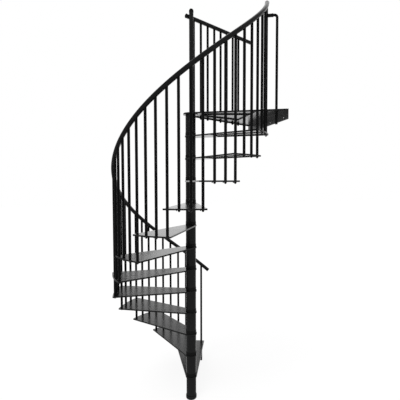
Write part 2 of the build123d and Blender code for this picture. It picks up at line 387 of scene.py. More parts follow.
# ---- mesh assembly ----------------------------------------------------------
class Shell:
    """Surfaces gathered into one mesh and sewn where they meet."""

    def __init__(self, *grids: np.ndarray) -> None:
        """Starts with some surfaces.

        Args:
            *grids: Points of each surface, rows by columns by three.
        """
        self.points: list[np.ndarray] = []
        self.quads: list[np.ndarray] = []
        self.flats: list[np.ndarray] = []
        self.folds: list[np.ndarray] = []
        self.count = 0
        for grid in grids:
            self.add(grid)

    def add(self, grid: np.ndarray, flat: np.ndarray | None = None,
            fold: np.ndarray | None = None) -> "Shell":
        """Adds a grid of points as quads between neighbours.

        Args:
            grid: Points, rows by columns by three.
            flat: Surface map of two numbers for each point.
            fold: How much each point lies on a worn edge, from nought to one.

        Returns:
            This shell, so that calls can be chained.
        """
        rows, columns = grid.shape[:2]
        at = np.arange(rows * columns).reshape(rows, columns) + self.count
        quads = np.stack([at[:-1, :-1], at[:-1, 1:], at[1:, 1:], at[1:, :-1]], axis=-1)
        if flat is None:
            around = np.broadcast_to(np.linspace(0, 1, columns), (rows, columns))
            flat = np.stack([around, grid[..., 2]], axis=-1)
        if fold is None:
            fold = np.zeros((rows, columns))
        self.points.append(grid.reshape(-1, 3))
        self.quads.append(quads.reshape(-1, 4))
        self.flats.append(flat.reshape(-1, 2))
        self.folds.append(fold.reshape(-1))
        self.count += rows * columns
        return self

    def mesh(self, name: str) -> bpy.types.Mesh:
        """Sews the surfaces into a mesh with outward faces and smooth shading.

        Args:
            name: Name of the mesh.

        Returns:
            The mesh, with its surface map and its fold attribute.
        """
        points, quads = np.concatenate(self.points), np.concatenate(self.quads)
        flat, fold = np.concatenate(self.flats), np.concatenate(self.folds)
        mesh = bpy.data.meshes.new(name)
        mesh.from_pydata(points.tolist(), [], quads.tolist())
        layer = mesh.uv_layers.new(name="surface")
        layer.data.foreach_set("uv", flat[quads.ravel()].astype(np.float32).ravel())
        edge = mesh.attributes.new("fold", "FLOAT", "POINT")
        edge.data.foreach_set("value", fold.astype(np.float32))
        body = bmesh.new()
        body.from_mesh(mesh)
        bmesh.ops.remove_doubles(body, verts=body.verts, dist=SEWING_DISTANCE)
        bmesh.ops.dissolve_degenerate(body, edges=body.edges, dist=SEWING_DISTANCE / 4)
        bmesh.ops.recalc_face_normals(body, faces=body.faces)
        body.to_mesh(mesh)
        body.free()
        mesh.shade_smooth()
        mesh.set_sharp_from_angle(angle=SHARP_ANGLE)
        return mesh


def linked(name: str, data: bpy.types.ID) -> bpy.types.Object:
    """Object in the scene's collection.

    Args:
        name: Name of the object.
        data: Its mesh, light or camera.

    Returns:
        The object.
    """
    made = bpy.data.objects.new(name, data)
    bpy.context.scene.collection.objects.link(made)
    return made


# ---- materials --------------------------------------------------------------
class Wiring:
    """Adds and joins the nodes of one tree."""

    def __init__(self, tree: bpy.types.NodeTree) -> None:
        """Takes the tree that the nodes go into."""
        self.tree = tree

    @classmethod
    def blank(cls, owner: bpy.types.Material | bpy.types.World) -> "Wiring":
        """Wiring of a tree that is emptied first.

        Args:
            owner: The material or the world whose tree it is.

        Returns:
            The wiring.
        """
        owner.use_nodes = True
        owner.node_tree.nodes.clear()
        return cls(owner.node_tree)

    def node(self, kind: str, **settings: object) -> bpy.types.Node:
        """Adds a node.

        Args:
            kind: Type name of the node.
            **settings: The node's own properties.

        Returns:
            The node.
        """
        made = self.tree.nodes.new(kind)
        for key, value in settings.items():
            setattr(made, key, value)
        return made

    def feed(self, socket: Socket, value: Value) -> None:
        """Joins a socket to another, or sets the number or colour on it.

        Args:
            socket: Input socket.
            value: Output socket, number or colour that it takes.
        """
        if isinstance(value, bpy.types.NodeSocket):
            self.tree.links.new(value, socket)
        else:
            socket.default_value = value

    def fed(self, kind: str, values: tuple[Value, ...], **settings: object) -> bpy.types.Node:
        """Adds a node and feeds its inputs in their order.

        Args:
            kind: Type name of the node.
            values: What its first inputs take.
            **settings: The node's own properties.

        Returns:
            The node.
        """
        made = self.node(kind, **settings)
        for socket, value in zip(made.inputs, values):
            self.feed(socket, value)
        return made

    def maths(self, operation: str, *values: Value, clamp: bool = False) -> Socket:
        """Adds a Math node and returns what it puts out."""
        return self.fed("ShaderNodeMath", values, operation=operation,
                        use_clamp=clamp).outputs[0]

    def vector(self, operation: str, *values: Value) -> bpy.types.Node:
        """Adds a Vector Math node and returns it."""
        return self.fed("ShaderNodeVectorMath", values, operation=operation)

    def parts(self, vector: Value) -> list[Socket]:
        """Splits a vector and returns its three numbers."""
        return list(self.fed("ShaderNodeSeparateXYZ", (vector,)).outputs)

    def noise(self, position: Value, scale: Value, detail: float, rough: float = 0.5) -> Socket:
        """Adds a noise texture.

        Args:
            position: Where it is read.
            scale: How many bumps there are to a unit of length.
            detail: Octaves of finer noise.
            rough: How strong the finer octaves are.

        Returns:
            The noise, from nought to one.
        """
        made = self.node("ShaderNodeTexNoise")
        for name, value in (("Vector", position), ("Scale", scale), ("Detail", detail),
                            ("Roughness", rough)):
            self.feed(made.inputs[name], value)
        return made.outputs[0]

    def ramp(self, value: Value, low: Value, high: Value, bottom: Value = 0.0,
             top: Value = 1.0) -> Socket:
        """Adds a smooth step between two values, clamped.

        Args:
            value: Number to look up.
            low: Where the step starts.
            high: Where it ends.
            bottom: Result up to its start.
            top: Result from its end on.

        Returns:
            The result.
        """
        return self.fed("ShaderNodeMapRange", (value, low, high, bottom, top),
                        interpolation_type="SMOOTHSTEP").outputs[0]

    def blend(self, share: Socket, below: Value, above: Value) -> Socket:
        """Mixes two colours.

        Args:
            share: How much of the second there is.
            below: First colour.
            above: Second colour.

        Returns:
            The mixed colour.
        """
        made = self.fed("ShaderNodeMix", (share,), data_type="RGBA")
        colours = [s for s in made.inputs if s.type == "RGBA"]
        for socket, value in zip(colours, (below, above)):
            self.feed(socket, value)
        return next(s for s in made.outputs if s.type == "RGBA")

    def choose(self, test: Socket, no: Value, yes: Value) -> Socket:
        """Takes one of two numbers by a test that is nought or one.

        Args:
            test: Nought or one.
            no: Number taken at nought.
            yes: Number taken at one.

        Returns:
            The number taken.
        """
        made = self.node("ShaderNodeMix", data_type="FLOAT")
        numbers = [s for s in made.inputs if s.type == "VALUE"]
        for socket, value in zip(numbers, (test, no, yes)):
            self.feed(socket, value)
        return made.outputs[0]

    def use(self, group: bpy.types.NodeTree, **values: Value) -> Socket:
        """Places a node group.

        Args:
            group: The group.
            **values: What each of its inputs takes, by name.

        Returns:
            What the group puts out.
        """
        made = self.node("ShaderNodeGroup", node_tree=group)
        for name, value in values.items():
            self.feed(made.inputs[name], value)
        return made.outputs[0]

    def output(self, kind: str, shader: Socket) -> None:
        """Ends the tree in an output node that takes a shader."""
        self.feed(self.node(kind).inputs["Surface"], shader)


class Group(Wiring):
    """Wiring of a new node group with named inputs and one number out."""

    def __init__(self, name: str, output: str, vectors: tuple[str, ...],
                 numbers: tuple[str, ...] = ()) -> None:
        """Makes the group and its sockets.

        Args:
            name: Name of the group.
            output: Name of the output.
            vectors: Names of the inputs that take vectors.
            numbers: Names of the inputs that take numbers.
        """
        super().__init__(bpy.data.node_groups.new(name, "ShaderNodeTree"))
        sockets = [(key, "INPUT", "NodeSocketVector") for key in vectors]
        sockets += [(key, "INPUT", "NodeSocketFloat") for key in numbers]
        for key, way, kind in sockets + [(output, "OUTPUT", "NodeSocketFloat")]:
            self.tree.interface.new_socket(name=key, in_out=way, socket_type=kind)
        self.given = self.node("NodeGroupInput").outputs
        self.sink = self.node("NodeGroupOutput").inputs[0]

    def puts(self, value: Socket) -> bpy.types.NodeTree:
        """Joins a value to the output and returns the finished group."""
        self.feed(self.sink, value)
        return self.tree


class Effects:
    """Shader groups that several finishes share, each built once."""

    def __init__(self) -> None:
        """Builds every group."""
        self.peel = self.make_peel()
        self.cloud = self.make_cloud()
        self.dust = self.make_dust()
        self.wear = self.make_wear()
        self.drawn = self.make_drawn()
        self.scuff = self.make_scuff()

    @staticmethod
    def make_peel() -> bpy.types.NodeTree:
        """Orange peel of a baked coat: low rounded bumps with finer ones on them.

        Returns:
            Group that puts out the height.
        """
        wire = Group("orange_peel", "Height", ("Position",), ("Scale",))
        position, scale = wire.given["Position"], wire.given["Scale"]
        finer, share = 2.7, 0.35
        broad = wire.noise(position, scale, detail=1.0, rough=0.4)
        fine = wire.noise(position, wire.maths("MULTIPLY", scale, finer), detail=2.0)
        return wire.puts(wire.maths("ADD", broad, wire.maths("MULTIPLY", fine, share)))

    @staticmethod
    def make_cloud() -> bpy.types.NodeTree:
        """Roughness that drifts slowly over a surface, about a middle value.

        Returns:
            Group that puts out the roughness.
        """
        wire = Group("clouded_gloss", "Roughness", ("Position",), ("Scale", "Middle", "Spread"))
        drift = wire.noise(wire.given["Position"], wire.given["Scale"], detail=4.0, rough=0.55)
        centred = wire.maths("SUBTRACT", drift, NOISE_MIDDLE)
        swing = wire.maths("MULTIPLY", centred, wire.given["Spread"])
        return wire.puts(wire.maths("ADD", wire.given["Middle"], swing))

    @staticmethod
    def make_dust() -> bpy.types.NodeTree:
        """Fine settled dust: on faces that look up, in uneven drifts and specks.

        Returns:
            Group that puts out how much dust there is.
        """
        wire = Group("settled_dust", "Mask", ("Position", "Normal"), ("Amount",))
        position, amount = wire.given["Position"], wire.given["Amount"]
        level = wire.ramp(wire.parts(wire.given["Normal"])[2], low=0.55, high=0.98)
        drifts = wire.ramp(wire.noise(position, scale=6.0, detail=5.0, rough=0.6),
                           low=0.35, high=0.75)
        specks = wire.ramp(wire.noise(position, scale=900.0, detail=1.0, rough=0.4),
                           low=0.66, high=0.78)
        drift_share = 0.6
        film = wire.maths("ADD", wire.maths("MULTIPLY", drifts, drift_share), specks)
        shown = wire.maths("MULTIPLY", film, level)
        return wire.puts(wire.maths("MULTIPLY", shown, amount, clamp=True))

    @staticmethod
    def make_wear() -> bpy.types.NodeTree:
        """Rubbed edges: the fold attribute broken up by noise.

        Returns:
            Group that puts out how worn the coat is.
        """
        wire = Group("edge_wear", "Mask", ("Position",), ("Fold", "Amount"))
        broken = wire.noise(wire.given["Position"], scale=55.0, detail=6.0, rough=0.65)
        lift = 0.35
        reach = wire.maths("MULTIPLY", wire.given["Fold"], wire.maths("ADD", broken, lift))
        shown = wire.ramp(reach, low=0.62, high=0.95)
        return wire.puts(wire.maths("MULTIPLY", shown, wire.given["Amount"]))

    @staticmethod
    def make_drawn() -> bpy.types.NodeTree:
        """Lines that an extrusion die leaves along a handrail's cover.

        The map's first number goes once round the rail, so its sine and cosine
        make noise that closes on itself, and the length is stretched a
        hundredfold so that each mark becomes a line.

        Returns:
            Group that puts out the height.
        """
        wire = Group("extrusion_lines", "Height", ("Map",), ("Scale",))
        around, length, _ = wire.parts(wire.given["Map"])
        turn, stretch = wire.maths("MULTIPLY", around, FULL_TURN), 0.01
        ring = wire.fed("ShaderNodeCombineXYZ", (wire.maths("COSINE", turn),
                                                 wire.maths("SINE", turn),
                                                 wire.maths("MULTIPLY", length, stretch)))
        return wire.puts(wire.noise(ring.outputs[0], wire.given["Scale"], detail=3.0, rough=0.6))

    @staticmethod
    def make_scuff() -> bpy.types.NodeTree:
        """Shoe scuffs: soft streaks across a tread, thickest where feet land.

        Returns:
            Group that puts out how scuffed the tread is.
        """
        wire = Group("shoe_scuffs", "Mask", ("Map",), ("Amount",))
        out, across, _ = wire.parts(wire.given["Map"])
        squeezed = [wire.maths("MULTIPLY", part, scale)
                    for part, scale in ((out, 60.0), (across, 9.0))]
        streak = wire.fed("ShaderNodeCombineXYZ", tuple(squeezed))
        lines = wire.ramp(wire.noise(streak.outputs[0], scale=1.0, detail=4.0, rough=0.6),
                          low=0.52, high=0.72)
        walked = wire.maths("MULTIPLY", wire.ramp(out, low=0.25, high=0.5),
                            wire.ramp(out, low=0.78, high=0.68))
        shown = wire.maths("MULTIPLY", lines, walked)
        return wire.puts(wire.maths("MULTIPLY", shown, wire.given["Amount"]))


class Surface(Enum):
    """How a finish's relief is made."""

    COATED = "coated"
    DRAWN = "drawn"
    MOULDED = "moulded"


@dataclass(frozen=True)
class Finish:
    """One finish: its colour, gloss and relief, and a slot name for it.

    Lengths are in metres, and colours are linear.
    """

    name: str
    surface: Surface
    colour: tuple[float, float, float]
    roughness: float
    spread: float = 0.08
    relief_scale: float = 420.0
    relief_depth: float = 0.000006
    dust: float = 0.0
    scuffs: float = 0.0
    wear: float = 0.0
    metallic: float = 0.0
    specular: float = 0.5
    slot: str = "powder_coat"
    drift_scale: float = 7.0
    tint_scale: float = 3.0
    pale: float = 1.25
    scuff_gloss: float = 0.12
    scuff_dust: float = 0.25
    dust_gloss: float = 0.35
    dust_colour: tuple[float, float, float] = (0.055, 0.052, 0.048)
    worn_colour: tuple[float, float, float] = (0.045, 0.045, 0.047)

    def material(self, effects: Effects) -> bpy.types.Material:
        """Builds the finish's material.

        Args:
            effects: The shader groups to place in it.

        Returns:
            The material, with every pattern on Object coordinates or the
            piece's own surface map.
        """
        made = bpy.data.materials.new(self.name)
        wire = Wiring.blank(made)
        place = wire.node("ShaderNodeTexCoord").outputs
        position, flat = place["Object"], place["UV"]
        facing = wire.node("ShaderNodeNewGeometry").outputs["Normal"]
        fold = wire.node("ShaderNodeAttribute", attribute_name="fold").outputs["Fac"]
        dust = wire.use(effects.dust, Position=position, Normal=facing, Amount=self.dust)
        worn = wire.use(effects.wear, Position=position, Fold=fold, Amount=self.wear)
        gloss = wire.use(effects.cloud, Position=position, Scale=self.drift_scale,
                         Middle=self.roughness, Spread=self.spread)
        if self.scuffs:
            scuff = wire.use(effects.scuff, Map=flat, Amount=self.scuffs)
            gloss = wire.maths("ADD", gloss, wire.maths("MULTIPLY", scuff, self.scuff_gloss))
            dust = wire.maths("ADD", dust, wire.maths("MULTIPLY", scuff, self.scuff_dust),
                              clamp=True)
        tint = wire.ramp(wire.noise(position, self.tint_scale, detail=3.0), low=0.3, high=0.7)
        pale = tuple(c * self.pale for c in self.colour) + (1.0,)
        shade = wire.blend(tint, self.colour + (1.0,), pale)
        shade = wire.blend(dust, shade, self.dust_colour + (1.0,))
        shade = wire.blend(worn, shade, self.worn_colour + (1.0,))
        rough = wire.maths("ADD", gloss, wire.maths("MULTIPLY", dust, self.dust_gloss),
                           clamp=True)
        shader = wire.node("ShaderNodeBsdfPrincipled")
        for name, value in (("Base Color", shade), ("Roughness", rough),
                            ("Metallic", self.metallic), ("Specular IOR Level", self.specular),
                            ("Normal", self.relief(wire, effects, position, flat))):
            wire.feed(shader.inputs[name], value)
        wire.output("ShaderNodeOutputMaterial", shader.outputs[0])
        return made

    def relief(self, wire: Wiring, effects: Effects, position: Socket,
               flat: Socket) -> Socket:
        """Adds the bump of this finish.

        Args:
            wire: Wiring of the material.
            effects: The shader groups to place in it.
            position: Object coordinates.
            flat: The piece's own surface map.

        Returns:
            The bumped normal.
        """
        if self.surface is Surface.DRAWN:
            height = wire.use(effects.drawn, Map=flat, Scale=self.relief_scale)
        elif self.surface is Surface.MOULDED:
            height = wire.noise(position, self.relief_scale, detail=3.0, rough=0.7)
        else:
            height = wire.use(effects.peel, Position=position, Scale=self.relief_scale)
        bump = wire.node("ShaderNodeBump")
        for name, value in (("Strength", 1.0), ("Distance", self.relief_depth),
                            ("Height", height)):
            wire.feed(bump.inputs[name], value)
        return bump.outputs[0]


COAT_BLACK = (0.0075, 0.0075, 0.0078)
FRAME_COAT = Finish("frame_powder_coat", Surface.COATED, COAT_BLACK, 0.24,
                    relief_depth=0.000005, dust=0.05, wear=0.25)
ROD_COAT = Finish("rod_powder_coat", Surface.COATED, (0.004, 0.004, 0.0042), 0.5, spread=0.06,
                  relief_depth=0.000002, dust=0.02, specular=0.2)
# Wall plate: the frame's black powder coat, its colour made about four times paler; that extra
# pale is painted reflected light, not a colour the plate has.
PLATE_COAT_PAINTED_LIGHT = Finish("plate_coat_painted_light", Surface.COATED, (0.034, 0.034, 0.0345), 0.34,
                    relief_depth=0.000005, dust=0.05, wear=0.25)
TREAD_COAT = Finish("tread_powder_coat", Surface.COATED, COAT_BLACK, 0.25, spread=0.05,
                    relief_depth=0.0000035, dust=0.04, scuffs=0.12, wear=0.3)
RAIL_COVER = Finish("rail_cover_vinyl", Surface.DRAWN, (0.0045, 0.0045, 0.0048), 0.24,
                    relief_scale=9.0, relief_depth=0.00006, dust=0.02, slot="rail_cover")
TRIM_PLASTIC = Finish("trim_moulded_black", Surface.MOULDED, (0.006, 0.006, 0.006), 0.55,
                      relief_scale=1400.0, relief_depth=0.00003, dust=0.04, specular=0.3,
                      slot="trim_plastic")
DARK_NUT = Finish("blackened_nut", Surface.COATED, (0.006, 0.006, 0.006), 0.42,
                  relief_scale=900.0, specular=0.4)
ZINC_SCREW = Finish("zinc_screw", Surface.MOULDED, (0.42, 0.43, 0.44), 0.38,
                    relief_scale=1100.0, relief_depth=0.00002, metallic=0.9)
FINISHES = (FRAME_COAT, ROD_COAT, PLATE_COAT_PAINTED_LIGHT, TREAD_COAT, RAIL_COVER, TRIM_PLASTIC,
            DARK_NUT, ZINC_SCREW)


class Workshop:
    """Turns shells into pieces that ride on the staircase's one body."""

    def __init__(self) -> None:
        """Builds the materials."""
        effects = Effects()
        self.materials = {finish.name: finish.material(effects) for finish in FINISHES}

    def piece(self, name: str, shell: Shell, finish: Finish, *nodes: str) -> None:
        """Makes a piece from a shell and puts it on the frame.

        Args:
            name: Name of the piece.
            shell: Its surfaces.
            finish: Its finish.
            *nodes: The CAD nodes that it stands for.
        """
        made = linked(name, shell.mesh(name))
        made.data.materials.append(self.materials[finish.name])
        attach(made, "root")
        if nodes:
            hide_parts(*nodes)
        LOG.info("%s: %d faces for %s", name, len(made.data.polygons),
                 ", ".join(nodes) or "no node")


# ---- the staircase ----------------------------------------------------------
@dataclass(frozen=True)
class Layout:
    """Where the steps, the uprights and the rail lie, and the sizes they share."""

    rise: float = 0.230
    first_rise: float = 0.248
    treads: int = 12
    step_angle: float = math.radians(21.9)
    first_angle: float = math.radians(78.7)
    sheet: float = 0.004
    tread_depth: float = 0.014
    landing_depth: float = 0.016
    pole_radius: float = 0.0212
    fit: float = 0.0001
    post: tuple[float, float] = (0.010, -0.003)
    post_radius: float = 0.0226
    baluster_ring: float = 0.771
    baluster_radius: float = 0.0125
    per_tread: int = 3
    on_line: float = 1.5
    rail_above: float = 1.120
    rail_radius: float = 0.021

    @property
    def pole_hole(self) -> float:
        """Radius of the hole that the pole goes through."""
        return self.pole_radius + self.fit

    @property
    def last_baluster(self) -> int:
        """Number of the baluster beside the landing, counted from nought."""
        return self.per_tread * self.treads

    @property
    def landing_z(self) -> float:
        """Height of the landing's top face."""
        return self.first_rise + self.rise * self.treads

    def tread_z(self, number: int) -> float:
        """Height of a tread's top face, the treads counted from one."""
        return self.first_rise + self.rise * (number - 1)

    def tread_angle(self, number: int) -> float:
        """Angle of a tread's centre line."""
        return self.first_angle + self.step_angle * (number - 1)

    def holder(self, baluster: int) -> int:
        """Number of the tread that holds a baluster."""
        return max(1, (baluster + 2) // self.per_tread)

    def baluster_angle(self, number: int) -> float:
        """Angle of a helix baluster; the first tread's centre line is at on_line."""
        return self.first_angle + self.step_angle * (number - self.on_line) / self.per_tread

    def rail_z(self, angle: np.ndarray | float) -> np.ndarray | float:
        """Height of the helical rail's centre line: it climbs one rise a step angle."""
        steps = (angle - self.first_angle) / self.step_angle
        return self.first_rise + self.rise * steps + self.rail_above

    @property
    def slope(self) -> float:
        """Angle at which the rail climbs."""
        return math.atan(self.rise / (self.step_angle * self.baluster_ring))


@dataclass
class Column:
    """Foot, pole, spacer tubes, trim rings, and the post with its domed cap."""

    layout: Layout
    foot_radius: float = 0.0565
    foot_height: float = 0.040
    foot_edges: tuple[float, ...] = (0, 0.012, 0.0035, 0.0005, 0, 0)
    pocket: float = 0.012
    wall: float = 0.003
    inner_edge: float = 0.0004
    outer_edge: float = 0.0008
    base_radius: float = 0.0515
    sleeve_radius: float = 0.0525
    ring_radius: float = 0.0540
    ring_height: float = 0.034
    ring_edges: tuple[float, ...] = (0.0002, 0.0008, 0.0016, 0.0002)
    cap_lip: float = 0.0008
    cap_skirt: float = 0.014
    cap_edge: float = 0.0007
    dome_points: int = 20

    def build(self, shop: Workshop) -> None:
        """Makes every piece of the column.

        Args:
            shop: The workshop that makes pieces.
        """
        lay = self.layout
        post_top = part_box("landing_post")[1].z
        pole = self.tube(lay.pole_radius, self.pocket, lay.landing_z, self.inner_edge)
        post = self.tube(lay.post_radius, lay.landing_z, post_top, self.inner_edge)
        base = self.tube(self.base_radius, self.foot_height, lay.tread_z(1) - lay.tread_depth,
                         self.outer_edge)
        shop.piece("foot_casting", Shell(self.foot()), FRAME_COAT, "column_foot")
        shop.piece("pole_tube", Shell(pole), FRAME_COAT, "centre_pole")
        shop.piece("post_tube", Shell(post + np.append(lay.post, 0.0)), FRAME_COAT,
                   "landing_post")
        shop.piece("post_dome", Shell(self.dome(post_top)), TRIM_PLASTIC, "post_cap")
        shop.piece("base_tube", Shell(base), FRAME_COAT, "base_sleeve")
        shop.piece("spacer_tubes", Shell(*self.spacers()), FRAME_COAT, "column_sleeves")
        shop.piece("trim_rings", Shell(*self.rings()), TRIM_PLASTIC, "sleeve_collars")

    def tube(self, radius: float, low: float, high: float, edge: float) -> np.ndarray:
        """Tube of the column's wall thickness, its outer edges eased."""
        return pipe(radius - self.wall, radius, low, high, (0, edge, edge, 0))

    def foot(self) -> np.ndarray:
        """Turned foot with a socket for the pole.

        Returns:
            Grid of points from the middle of its flat face to the socket's floor.
        """
        radius, high, socket = self.foot_radius, self.foot_height, self.layout.pole_hole
        corners = [(0, 0), (radius, 0), (radius, high), (socket, high),
                   (socket, self.pocket), (0, self.pocket)]
        return turned(rounded(corners, self.foot_edges, steps=10))

    def dome(self, low: float) -> np.ndarray:
        """Cap of the post: a short skirt and a half sphere on it.

        Args:
            low: Height of the post's top.

        Returns:
            Grid of points from the closed bottom to the dome's pole.
        """
        radius, spring = self.layout.post_radius + self.cap_lip, low + self.cap_skirt
        corners = [(0, low), (radius, low), (radius, spring)]
        skirt = rounded(corners, (0, self.cap_edge, 0), steps=4)
        top = heading(np.linspace(0, QUARTER, self.dome_points)) * radius + [0, spring]
        grid = turned(np.vstack([skirt, top[1:]]), Facets.DOME)
        return grid + np.append(self.layout.post, 0.0)

    def spacers(self) -> list[np.ndarray]:
        """Spacer tube on each tread, the last of which carries the landing.

        Returns:
            One grid for each tube.
        """
        lay = self.layout
        tops = [lay.tread_z(n + 1) - lay.tread_depth for n in range(1, lay.treads)]
        tops.append(lay.landing_z - lay.landing_depth)
        return [self.tube(self.sleeve_radius, lay.tread_z(n), top, self.outer_edge)
                for n, top in enumerate(tops, 1)]

    def rings(self) -> list[np.ndarray]:
        """Moulded ring at the bottom of each spacer tube, its upper edge rolled in.

        Returns:
            One grid for each ring.
        """
        inner = self.sleeve_radius + self.layout.fit
        lows = [self.layout.tread_z(n + 1) for n in range(self.layout.treads)]
        return [pipe(inner, self.ring_radius, low, low + self.ring_height, self.ring_edges,
                     steps=6) for low in lows]


class OuterEdge(Enum):
    """How a wedge-shaped plate ends away from the column."""

    ARC = "arc"
    STRAIGHT = "straight"


@dataclass(frozen=True)
class WedgePlan:
    """Plan of a plate round the column: a hub arc, two sides that leave it as
    tangents at an angle to the centre line, and an outer edge."""

    hub: float
    lean: float
    corner: float
    reach: float
    edge: OuterEdge
    edge_points: int = 22
    corner_points: int = 10
    side_points: int = 14
    hub_points: int = 26

    def outline(self) -> tuple[np.ndarray, np.ndarray]:
        """Outline and outward normals, counter-clockwise from the hub's back.

        The upper half runs along the outer edge, round the corner, down the
        side, which is a line at the hub's radius from the axis, and round the
        hub. The lower half mirrors it.

        Returns:
            Points and unit normals, the first repeated at the end.
        """
        side, along = heading(self.lean + QUARTER), heading(self.lean)
        inner, count = self.hub - self.corner, self.edge_points
        if self.edge is OuterEdge.ARC:
            run = math.sqrt((self.reach - self.corner) ** 2 - inner ** 2)
            centre = inner * side + run * along
            outer_n = heading(np.linspace(0, math.atan2(centre[1], centre[0]), count))
            outer = outer_n * self.reach
        else:
            run = (self.reach - self.corner - inner * side[0]) / along[0]
            centre = inner * side + run * along
            outer_n = np.broadcast_to([1.0, 0.0], (count, 2))
            outer = np.stack([np.full(count, self.reach), np.linspace(0, centre[1], count)],
                             axis=1)
        start = math.atan2(outer_n[-1][1], outer_n[-1][0])
        bend = heading(np.linspace(start, self.lean + QUARTER, self.corner_points))
        down = np.linspace(1, 0, self.side_points)[:, None]
        line = (centre + self.corner * side) * down + self.hub * side * (1 - down)
        back = heading(np.linspace(self.lean + QUARTER, math.pi, self.hub_points))
        points = np.vstack([outer, (centre + self.corner * bend)[1:], line[1:],
                            (self.hub * back)[1:]])
        normals = np.vstack([outer_n, bend[1:], np.broadcast_to(side, line[1:].shape), back[1:]])
        flip = np.array([1.0, -1.0])
        return (np.vstack([(points * flip)[::-1][:-1], points]),
                np.vstack([(normals * flip)[::-1][:-1], normals]))


@dataclass(frozen=True)
class FoldedPlate:
    """Sheet whose rim is folded down all round, with a welded boss for the pole."""

    plan: WedgePlan
    sheet: float
    depth: float
    hole: float
    inset: float
    bead: Bead
    fold: float = 0.0015
    lip: float = 0.0006
    nook: float = 0.0010
    worn_reach: float = 1.2
    skin_rows: tuple[float, ...] = (0.0, 0.08, 0.3, 0.6, 0.88)
    hub_inset: float = 0.0004
    boss_sunk: float = 0.0006
    boss_edges: tuple[float, ...] = (0.0003, 0.0008, 0, 0)

    @property
    def boss_radius(self) -> float:
        """Radius of the boss, which lies just inside the folded rim."""
        return self.plan.hub - self.hub_inset

    def surface(self) -> tuple[np.ndarray, np.ndarray, np.ndarray]:
        """The sheet with its centre line on +X and its top face at nought.

        The rim's section is carried round the outline, and ruled skins run
        from it to the pole's hole, above and below. The fold attribute is
        greatest on the outer bend and fades as a bell curve on both sides.

        Returns:
            The grid, its surface map and its fold attribute.
        """
        outline, normals = self.plan.outline()
        corners = [(self.inset, 0), (0, 0), (0, -self.depth), (self.sheet, -self.depth),
                   (self.sheet, -self.sheet), (self.inset, -self.sheet)]
        edges = (0, self.fold, self.lip, self.lip, self.nook, 0)
        section = rounded(corners, edges, steps=7)
        rim = outline[None] - section[:, 0, None, None] * normals[None]
        share, rows = np.array(self.skin_rows)[:, None, None], len(self.skin_rows)
        top = unit(rim[0]) * self.hole * (1 - share) + rim[0] * share
        plan = np.concatenate([top, rim, top[::-1], top[:1]])
        levels = np.concatenate([np.zeros(rows), section[:, 1], np.full(rows, -self.sheet), [0.0]])
        near = self.worn_reach * self.fold
        bend = np.exp(-(section.sum(axis=1) / self.fold) ** 2)
        bend = bend * (section[:, 0] < near) * (section[:, 1] > -near)
        fold = np.concatenate([np.zeros(rows), bend, np.zeros(rows + 1)])[:, None]
        return raised(plan, levels), plan, np.broadcast_to(fold, plan.shape[:2])

    def boss(self) -> np.ndarray:
        """Short tube under the sheet round the pole's hole."""
        return pipe(self.hole, self.boss_radius, -self.depth, -self.boss_sunk, self.boss_edges)

    def hub_weld(self, turns: np.ndarray) -> np.ndarray:
        """Bead where the boss meets the sheet, at a range of angles."""
        return self.bead.along(raised(heading(turns) * self.boss_radius, -self.sheet))


